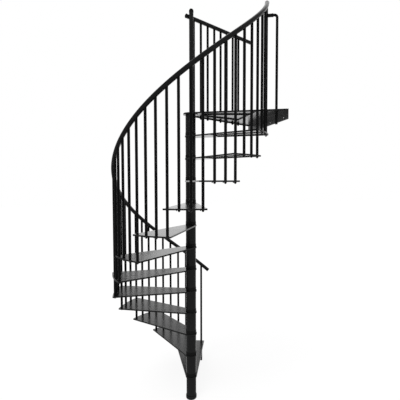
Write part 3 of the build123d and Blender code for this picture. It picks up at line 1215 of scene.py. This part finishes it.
@dataclass
class Steps:
    """The twelve treads, each with its boss, rib and welds."""

    layout: Layout
    reach: float = 0.795
    half_angle: float = math.radians(13.43)
    hub: float = 0.0595
    corner: float = 0.006
    inset: float = 0.005
    bead: Bead = Bead(0.0022)
    rib: Rib = Rib(0.004, 0.006, Bead(0.0022), stitches=7, stitch=0.026, near=0.033)
    rib_reach: float = 0.793
    rib_overlap: float = 0.003
    weld_from: float = math.radians(4)
    weld_short: float = math.radians(27)
    weld_points: int = 60
    closed_reach: float = 0.280
    closer: float = 0.003
    closer_above: float = 0.0002
    closer_rings: int = 20
    closer_rays: int = 33

    def build(self, shop: Workshop) -> None:
        """Makes the treads.

        Args:
            shop: The workshop that makes pieces.
        """
        lean = self.half_angle - math.asin(self.hub / self.reach)
        plan = WedgePlan(self.hub, lean, self.corner, self.reach, OuterEdge.ARC)
        plate = FoldedPlate(plan, self.layout.sheet, self.layout.tread_depth,
                            self.layout.pole_hole, self.inset, self.bead)
        sheet, flat, fold = plate.surface()
        under = self.underside(plate)
        for number in range(1, self.layout.treads + 1):
            spot = self.layout.tread_angle(number), self.layout.tread_z(number)
            made = Shell().add(spun(sheet, *spot), flat, fold)
            for grid in under:
                made.add(spun(grid, *spot))
            shop.piece(f"step_{number:02d}", made, TREAD_COAT, f"tread_{number:02d}")

    def underside(self, plate: FoldedPlate) -> list[np.ndarray]:
        """Boss, rib and weld beads of a tread whose centre line is on +X.

        Args:
            plate: The tread's sheet.

        Returns:
            One grid for each.
        """
        start = np.array([plate.boss_radius - self.rib_overlap, 0, -plate.sheet])
        end = np.array([self.rib_reach, 0, -plate.sheet])
        turns = np.linspace(self.weld_from, plate.plan.lean + QUARTER - self.weld_short,
                            self.weld_points)
        grids = [plate.boss(), self.rib.flat(start, end), self.closing_sheet(plate)]
        for side in (-1, 1):
            grids += [plate.hub_weld(side * turns), *self.rib.beads(start, end, (side,))]
        return grids

    def closing_sheet(self, plate: FoldedPlate) -> np.ndarray:
        """Flat sheet that closes the underside from the hub outwards.

        A tread's side is a line that passes the axis at the hub's radius, so
        at radius r it stands at the lean plus asin(hub / r) from the centre
        line. The sheet's ends lie inside the folded sides, half a sheet in.

        Args:
            plate: The tread's sheet.

        Returns:
            Grid of points from one folded side to the other.
        """
        inner = self.hub - plate.sheet / 2
        share = np.linspace(0, 1, self.closer_rings) ** 2
        radius = inner + (self.closed_reach - inner) * share
        spread = plate.plan.lean + np.arcsin(np.clip(inner / radius, 0.0, 1.0))
        low = self.closer_above - plate.depth
        level = np.repeat([low, low + self.closer], self.closer_rings)
        loop = [np.concatenate([row, row[::-1], row[:1]]) for row in (radius, spread)]
        angle = np.linspace(-1, 1, self.closer_rays)[:, None] * loop[1]
        plan = heading(angle) * loop[0][None, :, None]
        return closed_ends(raised(plan, np.append(level, low)[None]))


def hexagon_nut(flat: float, top: float, low: float, tail: np.ndarray,
                corner: float = 1.16, chamfer: float = 1.03, bevel: float = 0.0015) -> np.ndarray:
    """Hexagon nut round the Z axis, and what is turned below it.

    The radius at an angle is the lesser of a hexagon's and of a cone's that
    chamfers its corners.

    Args:
        flat: Half its width across flats.
        top: Height of its seat.
        low: Height of the hexagon's lower end.
        tail: Rows of radius and height below that end.
        corner: Radius past its corners, as a multiple of that half width.
        chamfer: The cone's radius at the lower end, as another.
        bevel: Height of the cone.

    Returns:
        Grid of points from the seat to the end of the tail.
    """
    body = [(0.0, top), (flat * corner, top), (flat * corner, low + bevel), (flat * chamfer, low)]
    profile = np.vstack([body, tail])
    angle = np.linspace(0, FULL_TURN, Facets.NUT + 1)
    sector = (angle + math.pi / 6) % (math.pi / 3) - math.pi / 6
    radius = np.minimum(flat / np.cos(sector), profile[:, :1])
    return raised(heading(angle) * radius[..., None], profile[:, 1])


def domed_nut(top: float, size: float = 1.0, flat: float = 0.010, shoulder: float = 0.0225,
              low: float = 0.0305, sunk: float = 0.0035, dome: float = 0.94) -> np.ndarray:
    """Domed hexagon nut under a plate, round the Z axis.

    Args:
        top: Height of the plate's top face.
        size: How many times the size of a tread's nut it is.
        flat: Half of a tread's nut's width across flats.
        shoulder: How far below that face the hexagon ends.
        low: How far below that face the dome ends.
        sunk: How far below that face any nut starts.
        dome: Radius of the dome, as a multiple of that half width.

    Returns:
        Grid of points from its seat to the dome's pole.
    """
    flat, shoulder, low = flat * size, shoulder * size, low * size
    cap = heading(np.linspace(0, -QUARTER, NUT_DOME_POINTS)) * [flat * dome, low - shoulder]
    return hexagon_nut(flat, top - sunk, top - shoulder, cap + [0, top - shoulder])


def cut_rod(layout: Layout, low: float, rail_z: float, slope: float = 0.0,
            edge: float = 0.0012, foot: float = 0.01, gap: float = 0.0002) -> np.ndarray:
    """Upright round the Z axis, its top cut to fit the round rail above it.

    At a point that lies r across the rail and b along it from the rod's axis,
    the rail's underside is at (b sin(slope) - sqrt(R^2 - r^2)) / cos(slope)
    from its centre line. The rail's first direction across is +X.

    Args:
        layout: The layout, which gives the rod's and the rail's radius.
        low: Height of the rod's foot.
        rail_z: Height of the rail's centre line over the rod.
        slope: Angle at which the rail climbs towards +Y.
        edge: Radius of the foot's edge.
        foot: Height of the foot's part of the surface.
        gap: How far the top reaches into the rail.

    Returns:
        Grid of points from the closed foot to the closed top.
    """
    radius = layout.baluster_radius
    base = rounded([(0, low), (radius, low), (radius, low + foot)], (0, edge, 0), steps=4)
    flat = np.array(SEAT_RINGS)[:, None, None] * radius * circle(Facets.ROD)
    seat = np.sqrt((layout.rail_radius - gap) ** 2 - flat[..., 0] ** 2)
    level = (flat[..., 1] * math.sin(slope) - seat) / math.cos(slope)
    return np.concatenate([turned(base, Facets.ROD), raised(flat, level + rail_z)])


@dataclass
class Balusters:
    """Uprights of the helix, cut to the rail, with their nuts under the treads."""

    layout: Layout
    sunk: float = 0.005
    groups: int = 4
    screw_offset: float = 0.020
    screw_radius: float = 0.0052
    screw_low: float = 0.0215
    screw_sunk: float = 0.0035
    screw_round: float = 0.45

    def build(self, shop: Workshop) -> None:
        """Makes the rods, the nuts and the small screws beside them.

        Args:
            shop: The workshop that makes pieces.
        """
        lay = self.layout
        shop.piece("floor_baluster", Shell(self.rod(0)), ROD_COAT, "first_baluster")
        numbers = range(1, lay.last_baluster + 1)
        for group, some in enumerate(np.array_split(numbers, self.groups), 1):
            shop.piece(f"baluster_rods_{group}", Shell(*map(self.rod, some)), ROD_COAT,
                       f"helix_balusters_{group}")
        nuts, screws = Shell(), Shell()
        for number in numbers:
            angle, top = lay.baluster_angle(number), lay.tread_z(lay.holder(number))
            beside = angle - self.screw_offset / lay.baluster_ring
            nuts.add(domed_nut(top) + raised(heading(angle) * lay.baluster_ring, 0.0))
            screws.add(self.screw(top) + raised(heading(beside) * lay.baluster_ring, 0.0))
        shop.piece("baluster_nuts", nuts, DARK_NUT)
        shop.piece("clamp_screws", screws, ZINC_SCREW)

    def rod(self, number: int) -> np.ndarray:
        """One upright; the first stands on the floor.

        Args:
            number: The baluster's number, counted from nought.

        Returns:
            Grid of points from the closed foot to the closed top.
        """
        lay = self.layout
        angle, low = lay.baluster_angle(number), 0.0
        if number:
            low = lay.tread_z(lay.holder(number)) - self.sunk
        rod = cut_rod(lay, low, lay.rail_z(angle), lay.slope)
        return spun(rod + np.array([lay.baluster_ring, 0.0, 0.0]), angle)

    def screw(self, top: float) -> np.ndarray:
        """Small round-headed screw beside a nut, round the Z axis.

        Args:
            top: Height of the tread's top face.

        Returns:
            Grid of points from its seat to the middle of its head.
        """
        radius, seat, low = self.screw_radius, top - self.screw_sunk, top - self.screw_low
        corners = [(0, seat), (radius, seat), (radius, low), (0, low)]
        profile = rounded(corners, (0, 0, radius * self.screw_round, 0))
        return turned(profile, Facets.SCREW)


def rail_plug(rail_radius: float, lip: float = 0.0008, thick: float = 0.006, crown: float = 0.0012,
              edges: tuple[float, ...] = (0, 0.0006, 0.0022, 0)) -> np.ndarray:
    """Moulded plug that closes a rail: a disc with a rounded rim and a slight crown.

    Args:
        rail_radius: Radius of the rail.
        lip: How far the plug stands out beyond it.
        thick: Thickness at the middle.
        crown: How much thinner it is at the rim.
        edges: Radius of each corner of its section.

    Returns:
        Grid of points round the Z axis, with the joint at nought.
    """
    radius = rail_radius + lip
    corners = [(0, 0), (radius, 0), (radius, thick - crown), (0, thick)]
    return turned(rounded(corners, edges, steps=7), Facets.PLUG)


@dataclass
class HelixRail:
    """The climbing handrail and its two end plugs."""

    layout: Layout
    start: float = math.radians(61.1)
    end: float = math.radians(334.5)
    ease: float = 0.0008
    rows: int = 420

    def build(self, shop: Workshop) -> None:
        """Makes the rail and its plugs.

        Args:
            shop: The workshop that makes pieces.
        """
        ease = self.ease / self.layout.baluster_ring
        evenly = np.linspace(self.start, self.end, self.rows)[1:-1]
        path, tangent, out = self.line(np.concatenate(
            [[self.start, self.start + ease], evenly, [self.end - ease, self.end]]))
        rail = round_bar(path, out, np.cross(tangent, out), self.layout.rail_radius,
                         Facets.RAIL)
        shop.piece("hand_rail", Shell().add(*rail), RAIL_COVER, "helix_rail")
        for name, row, way in (("low", 0, -1), ("high", -1, 1)):
            plug = placed(rail_plug(self.layout.rail_radius), path[row], tangent[row] * way)
            shop.piece(f"hand_rail_plug_{name}", Shell(plug), TRIM_PLASTIC,
                       f"helix_rail_cap_{name}")

    def line(self, angle: np.ndarray) -> tuple[np.ndarray, np.ndarray, np.ndarray]:
        """Centre line of the rail: a circle in plan that climbs evenly.

        Args:
            angle: Angles round the column.

        Returns:
            Points, unit tangents and unit outward vectors.
        """
        ring = self.layout.baluster_ring
        path = raised(heading(angle) * ring, self.layout.rail_z(angle))
        climb = self.layout.rise / self.layout.step_angle
        tangent = unit(raised(heading(angle + QUARTER) * ring, climb))
        return path, tangent, raised(heading(angle), 0.0)


@dataclass
class Landing:
    """The landing: folded plate, ribs under it and the plate that fixes it."""

    layout: Layout
    reach: float = 0.848
    half_width: float = 0.505
    hub: float = 0.075
    corner: float = 0.008
    inset: float = 0.007
    bead: Bead = Bead(0.0024)
    weld_short: float = math.radians(24)
    weld_points: int = 90
    fixing_thick: float = 0.004
    fixing_height: float = 0.100
    fixing_ease: float = 0.0008
    hole_radius: float = 0.0065
    hole_drop: float = 0.071
    holes: tuple[float, ...] = (-0.405, -0.113, 0.113, 0.405)
    side_points: int = 12
    rim_points: int = 5
    face_rows: tuple[float, ...] = (0.0, 0.15, 1.0)
    cross_rib: Rib = Rib(0.004, 0.012, Bead(0.0024), stitches=6, stitch=0.030, near=0.040)
    long_rib: Rib = Rib(0.004, 0.012, Bead(0.0024), stitches=5, stitch=0.030, near=0.040)
    rib_x: float = 0.583
    rib_ends: tuple[float, float] = (-0.355, 0.168)
    long_rib_from: float = 0.125
    long_rib_angle: float = math.radians(15.6)

    @property
    def lean(self) -> float:
        """Angle of the landing's side edges to +X, as tangents of the hub."""
        corner = math.hypot(self.reach, self.half_width)
        return math.atan2(self.half_width, self.reach) - math.asin(self.hub / corner)

    def build(self, shop: Workshop) -> None:
        """Makes the landing's three pieces.

        Args:
            shop: The workshop that makes pieces.
        """
        shop.piece("landing_deck", self.deck(), TREAD_COAT, "landing_plate")
        shop.piece("landing_frame", self.frame(), FRAME_COAT, "landing_ribs")
        # The wall plate's paler coat is painted reflected light.
        shop.piece("wall_plate", self.wall_plate(), PLATE_COAT_PAINTED_LIGHT, "landing_fixing_plate")

    def deck(self) -> Shell:
        """Folded plate with its boss and the weld round it.

        Returns:
            The three surfaces in their place.
        """
        lay = self.layout
        plan = WedgePlan(self.hub, self.lean, self.corner, self.reach - self.fixing_thick,
                         OuterEdge.STRAIGHT)
        plate = FoldedPlate(plan, lay.sheet, lay.landing_depth, lay.pole_hole, self.inset,
                            self.bead)
        limit = self.lean + QUARTER - self.weld_short
        sheet, flat, fold = plate.surface()
        lift = lay.landing_z * Z_AXIS
        made = Shell().add(sheet + lift, flat, fold).add(plate.boss() + lift)
        turns = np.linspace(-limit, limit, self.weld_points)
        return made.add(plate.hub_weld(turns) + lift)

    def frame(self) -> Shell:
        """Two ribs that spread from the hub and one across them, welded on.

        Returns:
            The bars and their beads.
        """
        skin = self.layout.landing_z - self.layout.sheet
        ribs = [(self.cross_rib, raised(np.array([(self.rib_x, y) for y in self.rib_ends]), skin))]
        run = np.array([[self.long_rib_from], [self.rib_x / math.cos(self.long_rib_angle)]])
        ribs += [(self.long_rib, raised(run * heading(angle), skin))
                 for angle in (-self.long_rib_angle, self.long_rib_angle)]
        return Shell(*(grid for rib, ends in ribs
                       for grid in (rib.flat(*ends), *rib.beads(*ends))))

    def wall_plate(self) -> Shell:
        """Upright plate with four holes, its outer edges eased.

        Each face is four cells side by side, one to a hole. In a cell the
        surface is ruled from the hole's circle to the cell's border, along
        lines through the hole's centre.

        Returns:
            Both faces, the bores and the rim.
        """
        top, ease = self.layout.landing_z, self.fixing_ease
        low, high = top - self.fixing_height + ease, top - ease
        between = [(a + b) / 2 for a, b in zip(self.holes, self.holes[1:])]
        limits = np.array([ease - self.half_width, *between, self.half_width - ease])
        sides = self.reach, self.reach - self.fixing_thick
        share = np.array(self.face_rows)[:, None, None]
        made = Shell()
        for y, left, right in zip(self.holes, limits, limits[1:]):
            border = self.cell_border(left, right, low, high)
            centre = np.array([y, top - self.hole_drop])
            bore = unit(border - centre) * self.hole_radius + centre
            for x in sides:
                made.add(self.upright(bore * (1 - share) + border * share, x))
            made.add(self.upright(np.stack([bore, bore]), sides))
        return made.add(self.plate_rim(limits, low, high))

    @staticmethod
    def upright(points: np.ndarray, x: np.ndarray | float) -> np.ndarray:
        """Points of (Y, Z) on an upright plane, at an X for each row or one for all."""
        return np.roll(raised(points, x), 1, axis=-1)

    def cell_border(self, left: float, right: float, low: float, high: float) -> np.ndarray:
        """Border of a rectangle as evenly spaced points, corners among them.

        Args:
            left: Its least Y.
            right: Its greatest Y.
            low: Its least Z.
            high: Its greatest Z.

        Returns:
            Points from the lower left corner round to it again.
        """
        share = np.linspace(0, 1, self.side_points, endpoint=False)[:, None]
        corners = np.array([(left, low), (right, low), (right, high), (left, high), (left, low)])
        sides = [a * (1 - share) + b * share for a, b in zip(corners, corners[1:])]
        return np.vstack(sides + [corners[:1]])

    def plate_rim(self, limits: np.ndarray, low: float, high: float) -> np.ndarray:
        """Edge of the wall plate: a rounded section carried round its outline.

        Args:
            limits: Y of each cell's sides.
            low: Z of the cells' lower side.
            high: Z of their upper side.

        Returns:
            Grid of points from the outer face's border to the inner one's.
        """
        cells = [self.cell_border(a, b, low, high) for a, b in zip(limits, limits[1:])]
        bottom, right, top, left = (slice(self.side_points * i, self.side_points * (i + 1))
                                    for i in range(4))
        line = np.vstack([*(cell[bottom] for cell in cells), cells[-1][right],
                          *(cell[top] for cell in cells[::-1]), cells[0][left], cells[0][:1]])
        corner = np.array([limits[-1], high])
        middle = (np.array([limits[0], low]) + corner) / 2
        edge = np.abs(np.abs(line - middle) - (corner - middle)) < SAME_LINE
        outward = unit(np.sign(line - middle) * edge)
        arc = heading(np.linspace(0, QUARTER, self.rim_points))
        lift = np.concatenate([arc[:, 1], arc[::-1, 1]]) * self.fixing_ease
        sink = (1 - arc[:, 0]) * self.fixing_ease
        depth = self.reach - np.concatenate([sink, self.fixing_thick - sink[::-1]])
        return self.upright(line[None] + lift[:, None, None] * outward[None], depth)


@dataclass
class LandingRail:
    """Level guard beside the landing: rail, plugs, uprights, nuts and spacer."""

    layout: Layout
    lean: float
    level: float = 4.001
    offset: float = 0.046
    start: float = -0.014
    end: float = 0.990
    ease: float = 0.0008
    rows: int = 24
    balusters: int = 9
    pitch: float = 0.0975
    first: float = 0.0839
    sunk: float = 0.005
    spacer_radius: float = 0.009
    spacer_overlap: float = 0.0015
    nut_size: float = 1.18

    @property
    def side(self) -> np.ndarray:
        """Unit plan vector across the rail, away from the landing."""
        return heading(self.lean + QUARTER)

    def line(self, distance: np.ndarray | float) -> np.ndarray:
        """Points of the rail's centre line at distances along it."""
        way = np.multiply.outer(distance, heading(self.lean))
        return raised(way + self.side * self.offset, self.level)

    def build(self, shop: Workshop) -> None:
        """Makes the guard.

        Args:
            shop: The workshop that makes pieces.
        """
        top, radius = self.layout.landing_z, self.layout.rail_radius
        evenly = np.linspace(self.start + self.ease, self.end - self.ease, self.rows)
        path = self.line(np.concatenate([[self.start], evenly, [self.end]]))
        across = np.broadcast_to(np.append(self.side, 0.0), path.shape)
        over = np.broadcast_to(Z_AXIS, path.shape)
        rail = round_bar(path, across, over, radius, Facets.RAIL)
        plugs = [placed(rail_plug(radius), self.line(at), heading(self.lean) * way)
                 for at, way in ((self.start, -1), (self.end, 1))]
        shop.piece("guard_rail", Shell().add(*rail), RAIL_COVER, "landing_rail")
        shop.piece("guard_rail_plugs", Shell(*plugs), TRIM_PLASTIC, "landing_rail_caps")
        rod = spun(cut_rod(self.layout, top - self.sunk, self.level), self.lean + QUARTER)
        nut = domed_nut(top, self.nut_size)
        spots = self.line(self.first + self.pitch * np.arange(self.balusters))
        spots[:, 2] = 0.0
        shop.piece("guard_rods", Shell(*(rod + spot for spot in spots)), ROD_COAT,
                   "landing_balusters")
        shop.piece("guard_nuts", Shell(*(nut + spot for spot in spots)), DARK_NUT)
        shop.piece("guard_spacer", Shell(self.spacer()), FRAME_COAT, "rail_bracket")

    def spacer(self) -> np.ndarray:
        """Short round spacer between the post and the rail.

        Returns:
            Grid of points that reaches a little into both.
        """
        lay, radius = self.layout, self.spacer_radius
        gap = self.offset - float(self.side @ np.array(lay.post))
        near = lay.post_radius - self.spacer_overlap
        far = gap - lay.rail_radius + self.spacer_overlap
        profile = np.array([(0, near), (radius, near), (radius, far), (0, far)])
        return placed(turned(profile, Facets.RAIL), np.append(lay.post, self.level), self.side)


@dataclass
class EndBaluster:
    """Bent upright by the wall plate, and the coupling that holds its tip."""

    layout: Layout
    plan: tuple[float, float] = (0.7595, -0.4245)
    bend_z: float = 3.908
    bend_radius: float = 0.025
    low: float = 2.866
    short: float = 0.030
    ease: float = 0.0012
    bend_points: int = 16
    coupling_radius: float = 0.0160
    coupling_length: float = 0.062
    coupling_edges: tuple[float, ...] = (0, 0.002, 0.0006, 0.0008, 0.0012, 0.0005, 0, 0)
    ring_radius: float = 0.0180
    ring_length: float = 0.007
    nut_flat: float = 0.0155
    nut_top: float = 0.0035
    nut_low: float = 0.027

    def build(self, shop: Workshop) -> None:
        """Makes the upright, its coupling and the collar nuts under the deck.

        Args:
            shop: The workshop that makes pieces.
        """
        lay = self.layout
        last = heading(lay.baluster_angle(lay.last_baluster)) * lay.baluster_ring
        away = unit(np.array(self.plan) - last)
        reach = float(np.linalg.norm(np.array(self.plan) - last))
        low = lay.landing_z - self.nut_low
        nut = hexagon_nut(self.nut_flat, lay.landing_z - self.nut_top, low, [(0.0, low)])
        nuts = Shell(*(nut + np.append(plan, 0.0) for plan in (last, self.plan)))
        sleeve = placed(self.coupling(), np.append(last, self.bend_z), away)
        shop.piece("bent_baluster", self.bent(away, reach), ROD_COAT, "end_baluster")
        shop.piece("baluster_coupling", Shell(sleeve), TRIM_PLASTIC, "end_connector")
        shop.piece("deck_collar_nuts", nuts, DARK_NUT)

    def bent(self, away: np.ndarray, reach: float) -> Shell:
        """Rod that runs up, turns a quarter circle and runs level to its tip.

        Args:
            away: Unit plan vector from the last helix baluster to this one.
            reach: Distance between the two.

        Returns:
            The rod.
        """
        radius, ease, level = self.bend_radius, self.ease, reach - self.short
        under = self.bend_z - radius
        quarter = np.linspace(0, QUARTER, self.bend_points)[1:-1]
        turn = np.concatenate([np.zeros(4), quarter, np.full(3, QUARTER)])
        back = np.concatenate([np.zeros(4), radius * (1 - np.cos(quarter)),
                               [radius, level - ease, level]])
        height = np.concatenate([[self.low, self.low + ease, self.layout.landing_z, under],
                                 under + radius * np.sin(quarter), np.full(3, self.bend_z)])
        path = raised(np.array(self.plan) - back[:, None] * away, height)
        side = np.broadcast_to([-away[1], away[0], 0.0], path.shape)
        tangent = raised(-np.sin(turn)[:, None] * away, np.cos(turn))
        return Shell().add(*round_bar(path, side, np.cross(tangent, side),
                                      self.layout.baluster_radius, Facets.ROD, ease))

    def coupling(self) -> np.ndarray:
        """Sleeve with a raised ring at the open end, round the Z axis.

        Returns:
            Grid of points from the closed end to the bottom of the opening.
        """
        radius, ring, length = self.coupling_radius, self.ring_radius, self.coupling_length
        neck, bore = length - self.ring_length, self.layout.baluster_radius
        corners = [(0, 0), (radius, 0), (radius, neck), (ring, neck), (ring, length),
                   (bore, length), (bore, neck), (0, neck)]
        return turned(rounded(corners, self.coupling_edges), Facets.PLUG)


# ---- studio -----------------------------------------------------------------
@dataclass(frozen=True)
class BrightPatch:
    """Round patch of the sweep that is brighter: where it is, how far from its
    middle it ends and is full, all in degrees, and how much it adds."""

    azimuth: float
    rise: float
    fade: tuple[float, float]
    level: float


@dataclass(frozen=True)
class Sweep:
    """White sweep behind the staircase, as gloss sees it. Angles are in degrees."""

    azimuth: float = 73.6
    fade: tuple[float, float] = (62.0, 32.0)
    height: tuple[float, float] = (75.0, 25.0)
    level: float = 0.78
    room_level: float = 0.20
    patches: tuple[BrightPatch, ...] = (BrightPatch(75.0, 5.0, (26.0, 4.0), 0.65),
                                        BrightPatch(64.0, 51.0, (28.0, 7.0), 0.72))

    def group(self) -> bpy.types.NodeTree:
        """How bright the studio is in a direction: the sweep is brightest low in
        its middle and in its patches, and the room is dim.

        Returns:
            Group that puts out the strength.
        """
        wire = Group("studio_sweep", "Strength", ("Direction",))
        way = wire.vector("NORMALIZE", wire.given["Direction"]).outputs[0]
        flat = wire.vector("MULTIPLY", wire.given["Direction"], (1.0, 1.0, 0.0)).outputs[0]
        level = wire.vector("NORMALIZE", flat).outputs[0]
        side = self.near(wire, level, self.azimuth, 0.0, self.fade)
        top, low = (math.sin(math.radians(a)) for a in self.height)
        band = wire.ramp(wire.maths("ABSOLUTE", wire.parts(way)[2]), top, low)
        glow = wire.ramp(wire.maths("MULTIPLY", side, band), 0.0, 1.0, self.room_level,
                         self.level)
        for patch in self.patches:
            glare = self.near(wire, way, patch.azimuth, patch.rise, patch.fade, patch.level)
            glow = wire.maths("ADD", glow, glare)
        return wire.puts(glow)

    @staticmethod
    def near(wire: Wiring, way: Socket, azimuth: float, rise: float,
             fade: tuple[float, float], level: float = 1.0) -> Socket:
        """How near a direction is to a middle one, by the cosine between them.

        Args:
            wire: Wiring of the group.
            way: Unit vector of the direction.
            azimuth: The middle one's angle in plan.
            rise: Its angle above level.
            fade: Angles between them at which it is nought and full.
            level: What it is when full.

        Returns:
            The nearness.
        """
        turn, lift = math.radians(azimuth), math.radians(rise)
        middle = tuple(np.append(heading(turn) * math.cos(lift), math.sin(lift)))
        cosine = wire.vector("DOT_PRODUCT", way, middle).outputs["Value"]
        none, full = (math.cos(math.radians(a)) for a in fade)
        return wire.ramp(cosine, none, full, 0.0, level)


@dataclass(frozen=True)
class Studio:
    """Floor, soft light, world and camera. Angles are in degrees."""

    sweep: Sweep = Sweep()
    fill_level: float = 0.62
    key_level: float = 0.4
    key_width: float = 32.0
    key_turn: tuple[float, float, float] = (34.0, 0.0, -48.0)
    floor_size: float = 60.0
    floor_white: float = 0.95
    floor_seen: float = 0.18
    floor_lift: float = 0.86
    film_width: float = 36.0
    lens: float = 30.62
    lens_shift: tuple[float, float] = (-0.03345, -0.00575)
    view_limit: float = 200.0
    eye: tuple[float, float, float] = (-0.77387, -3.46211, 2.30667)
    eye_turn: tuple[float, float, float] = (87.309, 0.0, -16.404)

    def build(self) -> None:
        """Makes the studio."""
        glow = self.sweep.group()
        self.floor(glow)
        self.world(glow)
        self.key_light()
        self.camera()

    def floor(self, glow: bpy.types.NodeTree) -> None:
        """White floor that keeps the staircase's shadow.

        The camera sees a lifted white in which the shadow is soft, gloss sees
        the sweep, and the staircase gets the light of plain white paint.

        Args:
            glow: The group that says how bright the studio is.
        """
        half = self.floor_size / 2
        corners = [(-half, -half, 0), (half, -half, 0), (half, half, 0), (-half, half, 0)]
        mesh = bpy.data.meshes.new("studio_floor")
        mesh.from_pydata(corners, [], [(0, 1, 2, 3)])
        floor = linked("studio_floor", mesh)
        material = bpy.data.materials.new("studio_floor_white")
        wire = Wiring.blank(material)
        ray = wire.node("ShaderNodeLightPath").outputs
        seen, painted = ((tone,) * 3 + (1.0,) for tone in (self.floor_seen, self.floor_white))
        matt = wire.fed("ShaderNodeBsdfDiffuse",
                        (wire.blend(ray["Is Camera Ray"], painted, seen),))
        lift = wire.fed("ShaderNodeEmission", (
            WHITE, wire.maths("MULTIPLY", ray["Is Camera Ray"], self.floor_lift)))
        place = wire.node("ShaderNodeTexCoord").outputs["Object"]
        mirror = wire.fed("ShaderNodeEmission", (WHITE, wire.use(glow, Direction=place)))
        paint = wire.fed("ShaderNodeAddShader", (matt.outputs[0], lift.outputs[0]))
        both = wire.fed("ShaderNodeMixShader",
                        (ray["Is Glossy Ray"], paint.outputs[0], mirror.outputs[0]))
        wire.output("ShaderNodeOutputMaterial", both.outputs[0])
        floor.data.materials.append(material)

    def world(self, glow: bpy.types.NodeTree) -> None:
        """White to the camera, an even fill on the object, and the sweep in gloss.

        Args:
            glow: The group that says how bright the studio is.
        """
        world = bpy.data.worlds.new("studio_world")
        bpy.context.scene.world = world
        wire = Wiring.blank(world)
        ray = wire.node("ShaderNodeLightPath").outputs
        direction = wire.node("ShaderNodeTexCoord").outputs["Generated"]
        mirror = wire.maths("MAXIMUM", ray["Is Glossy Ray"], ray["Is Transmission Ray"])
        strength = wire.choose(mirror, self.fill_level, wire.use(glow, Direction=direction))
        strength = wire.choose(ray["Is Camera Ray"], strength, 1.0)
        back = wire.fed("ShaderNodeBackground", (WHITE, strength))
        wire.output("ShaderNodeOutputWorld", back.outputs[0])

    def key_light(self) -> None:
        """One broad soft key from high on the left, kept out of the gloss."""
        data = bpy.data.lights.new("soft_key", "SUN")
        data.energy = self.key_level * math.pi
        data.angle = math.radians(self.key_width)
        lamp = linked("soft_key", data)
        lamp.rotation_euler = tuple(map(math.radians, self.key_turn))
        lamp.visible_glossy = False

    def camera(self) -> None:
        """Camera a little above eye height, below the landing."""
        data = bpy.data.cameras.new("camera")
        data.sensor_width, data.lens = self.film_width, self.lens
        data.shift_x, data.shift_y = self.lens_shift
        data.clip_end = self.view_limit
        camera = linked("camera", data)
        camera.location = self.eye
        camera.rotation_euler = tuple(map(math.radians, self.eye_turn))
        bpy.context.scene.camera = camera
        bpy.context.scene.view_settings.view_transform = "Standard"


def main() -> None:
    """Loads the frame, builds the staircase round it and sets the studio."""
    logging.basicConfig(level=logging.INFO, format="%(name)s: %(message)s")
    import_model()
    shop = Workshop()
    layout = Layout()
    landing = Landing(layout)
    guard = LandingRail(layout, landing.lean)
    for assembly in (Column(layout), Steps(layout), Balusters(layout), HelixRail(layout),
                     landing, guard, EndBaluster(layout)):
        assembly.build(shop)
    Studio().build()


if __name__ == "__main__":
    main()
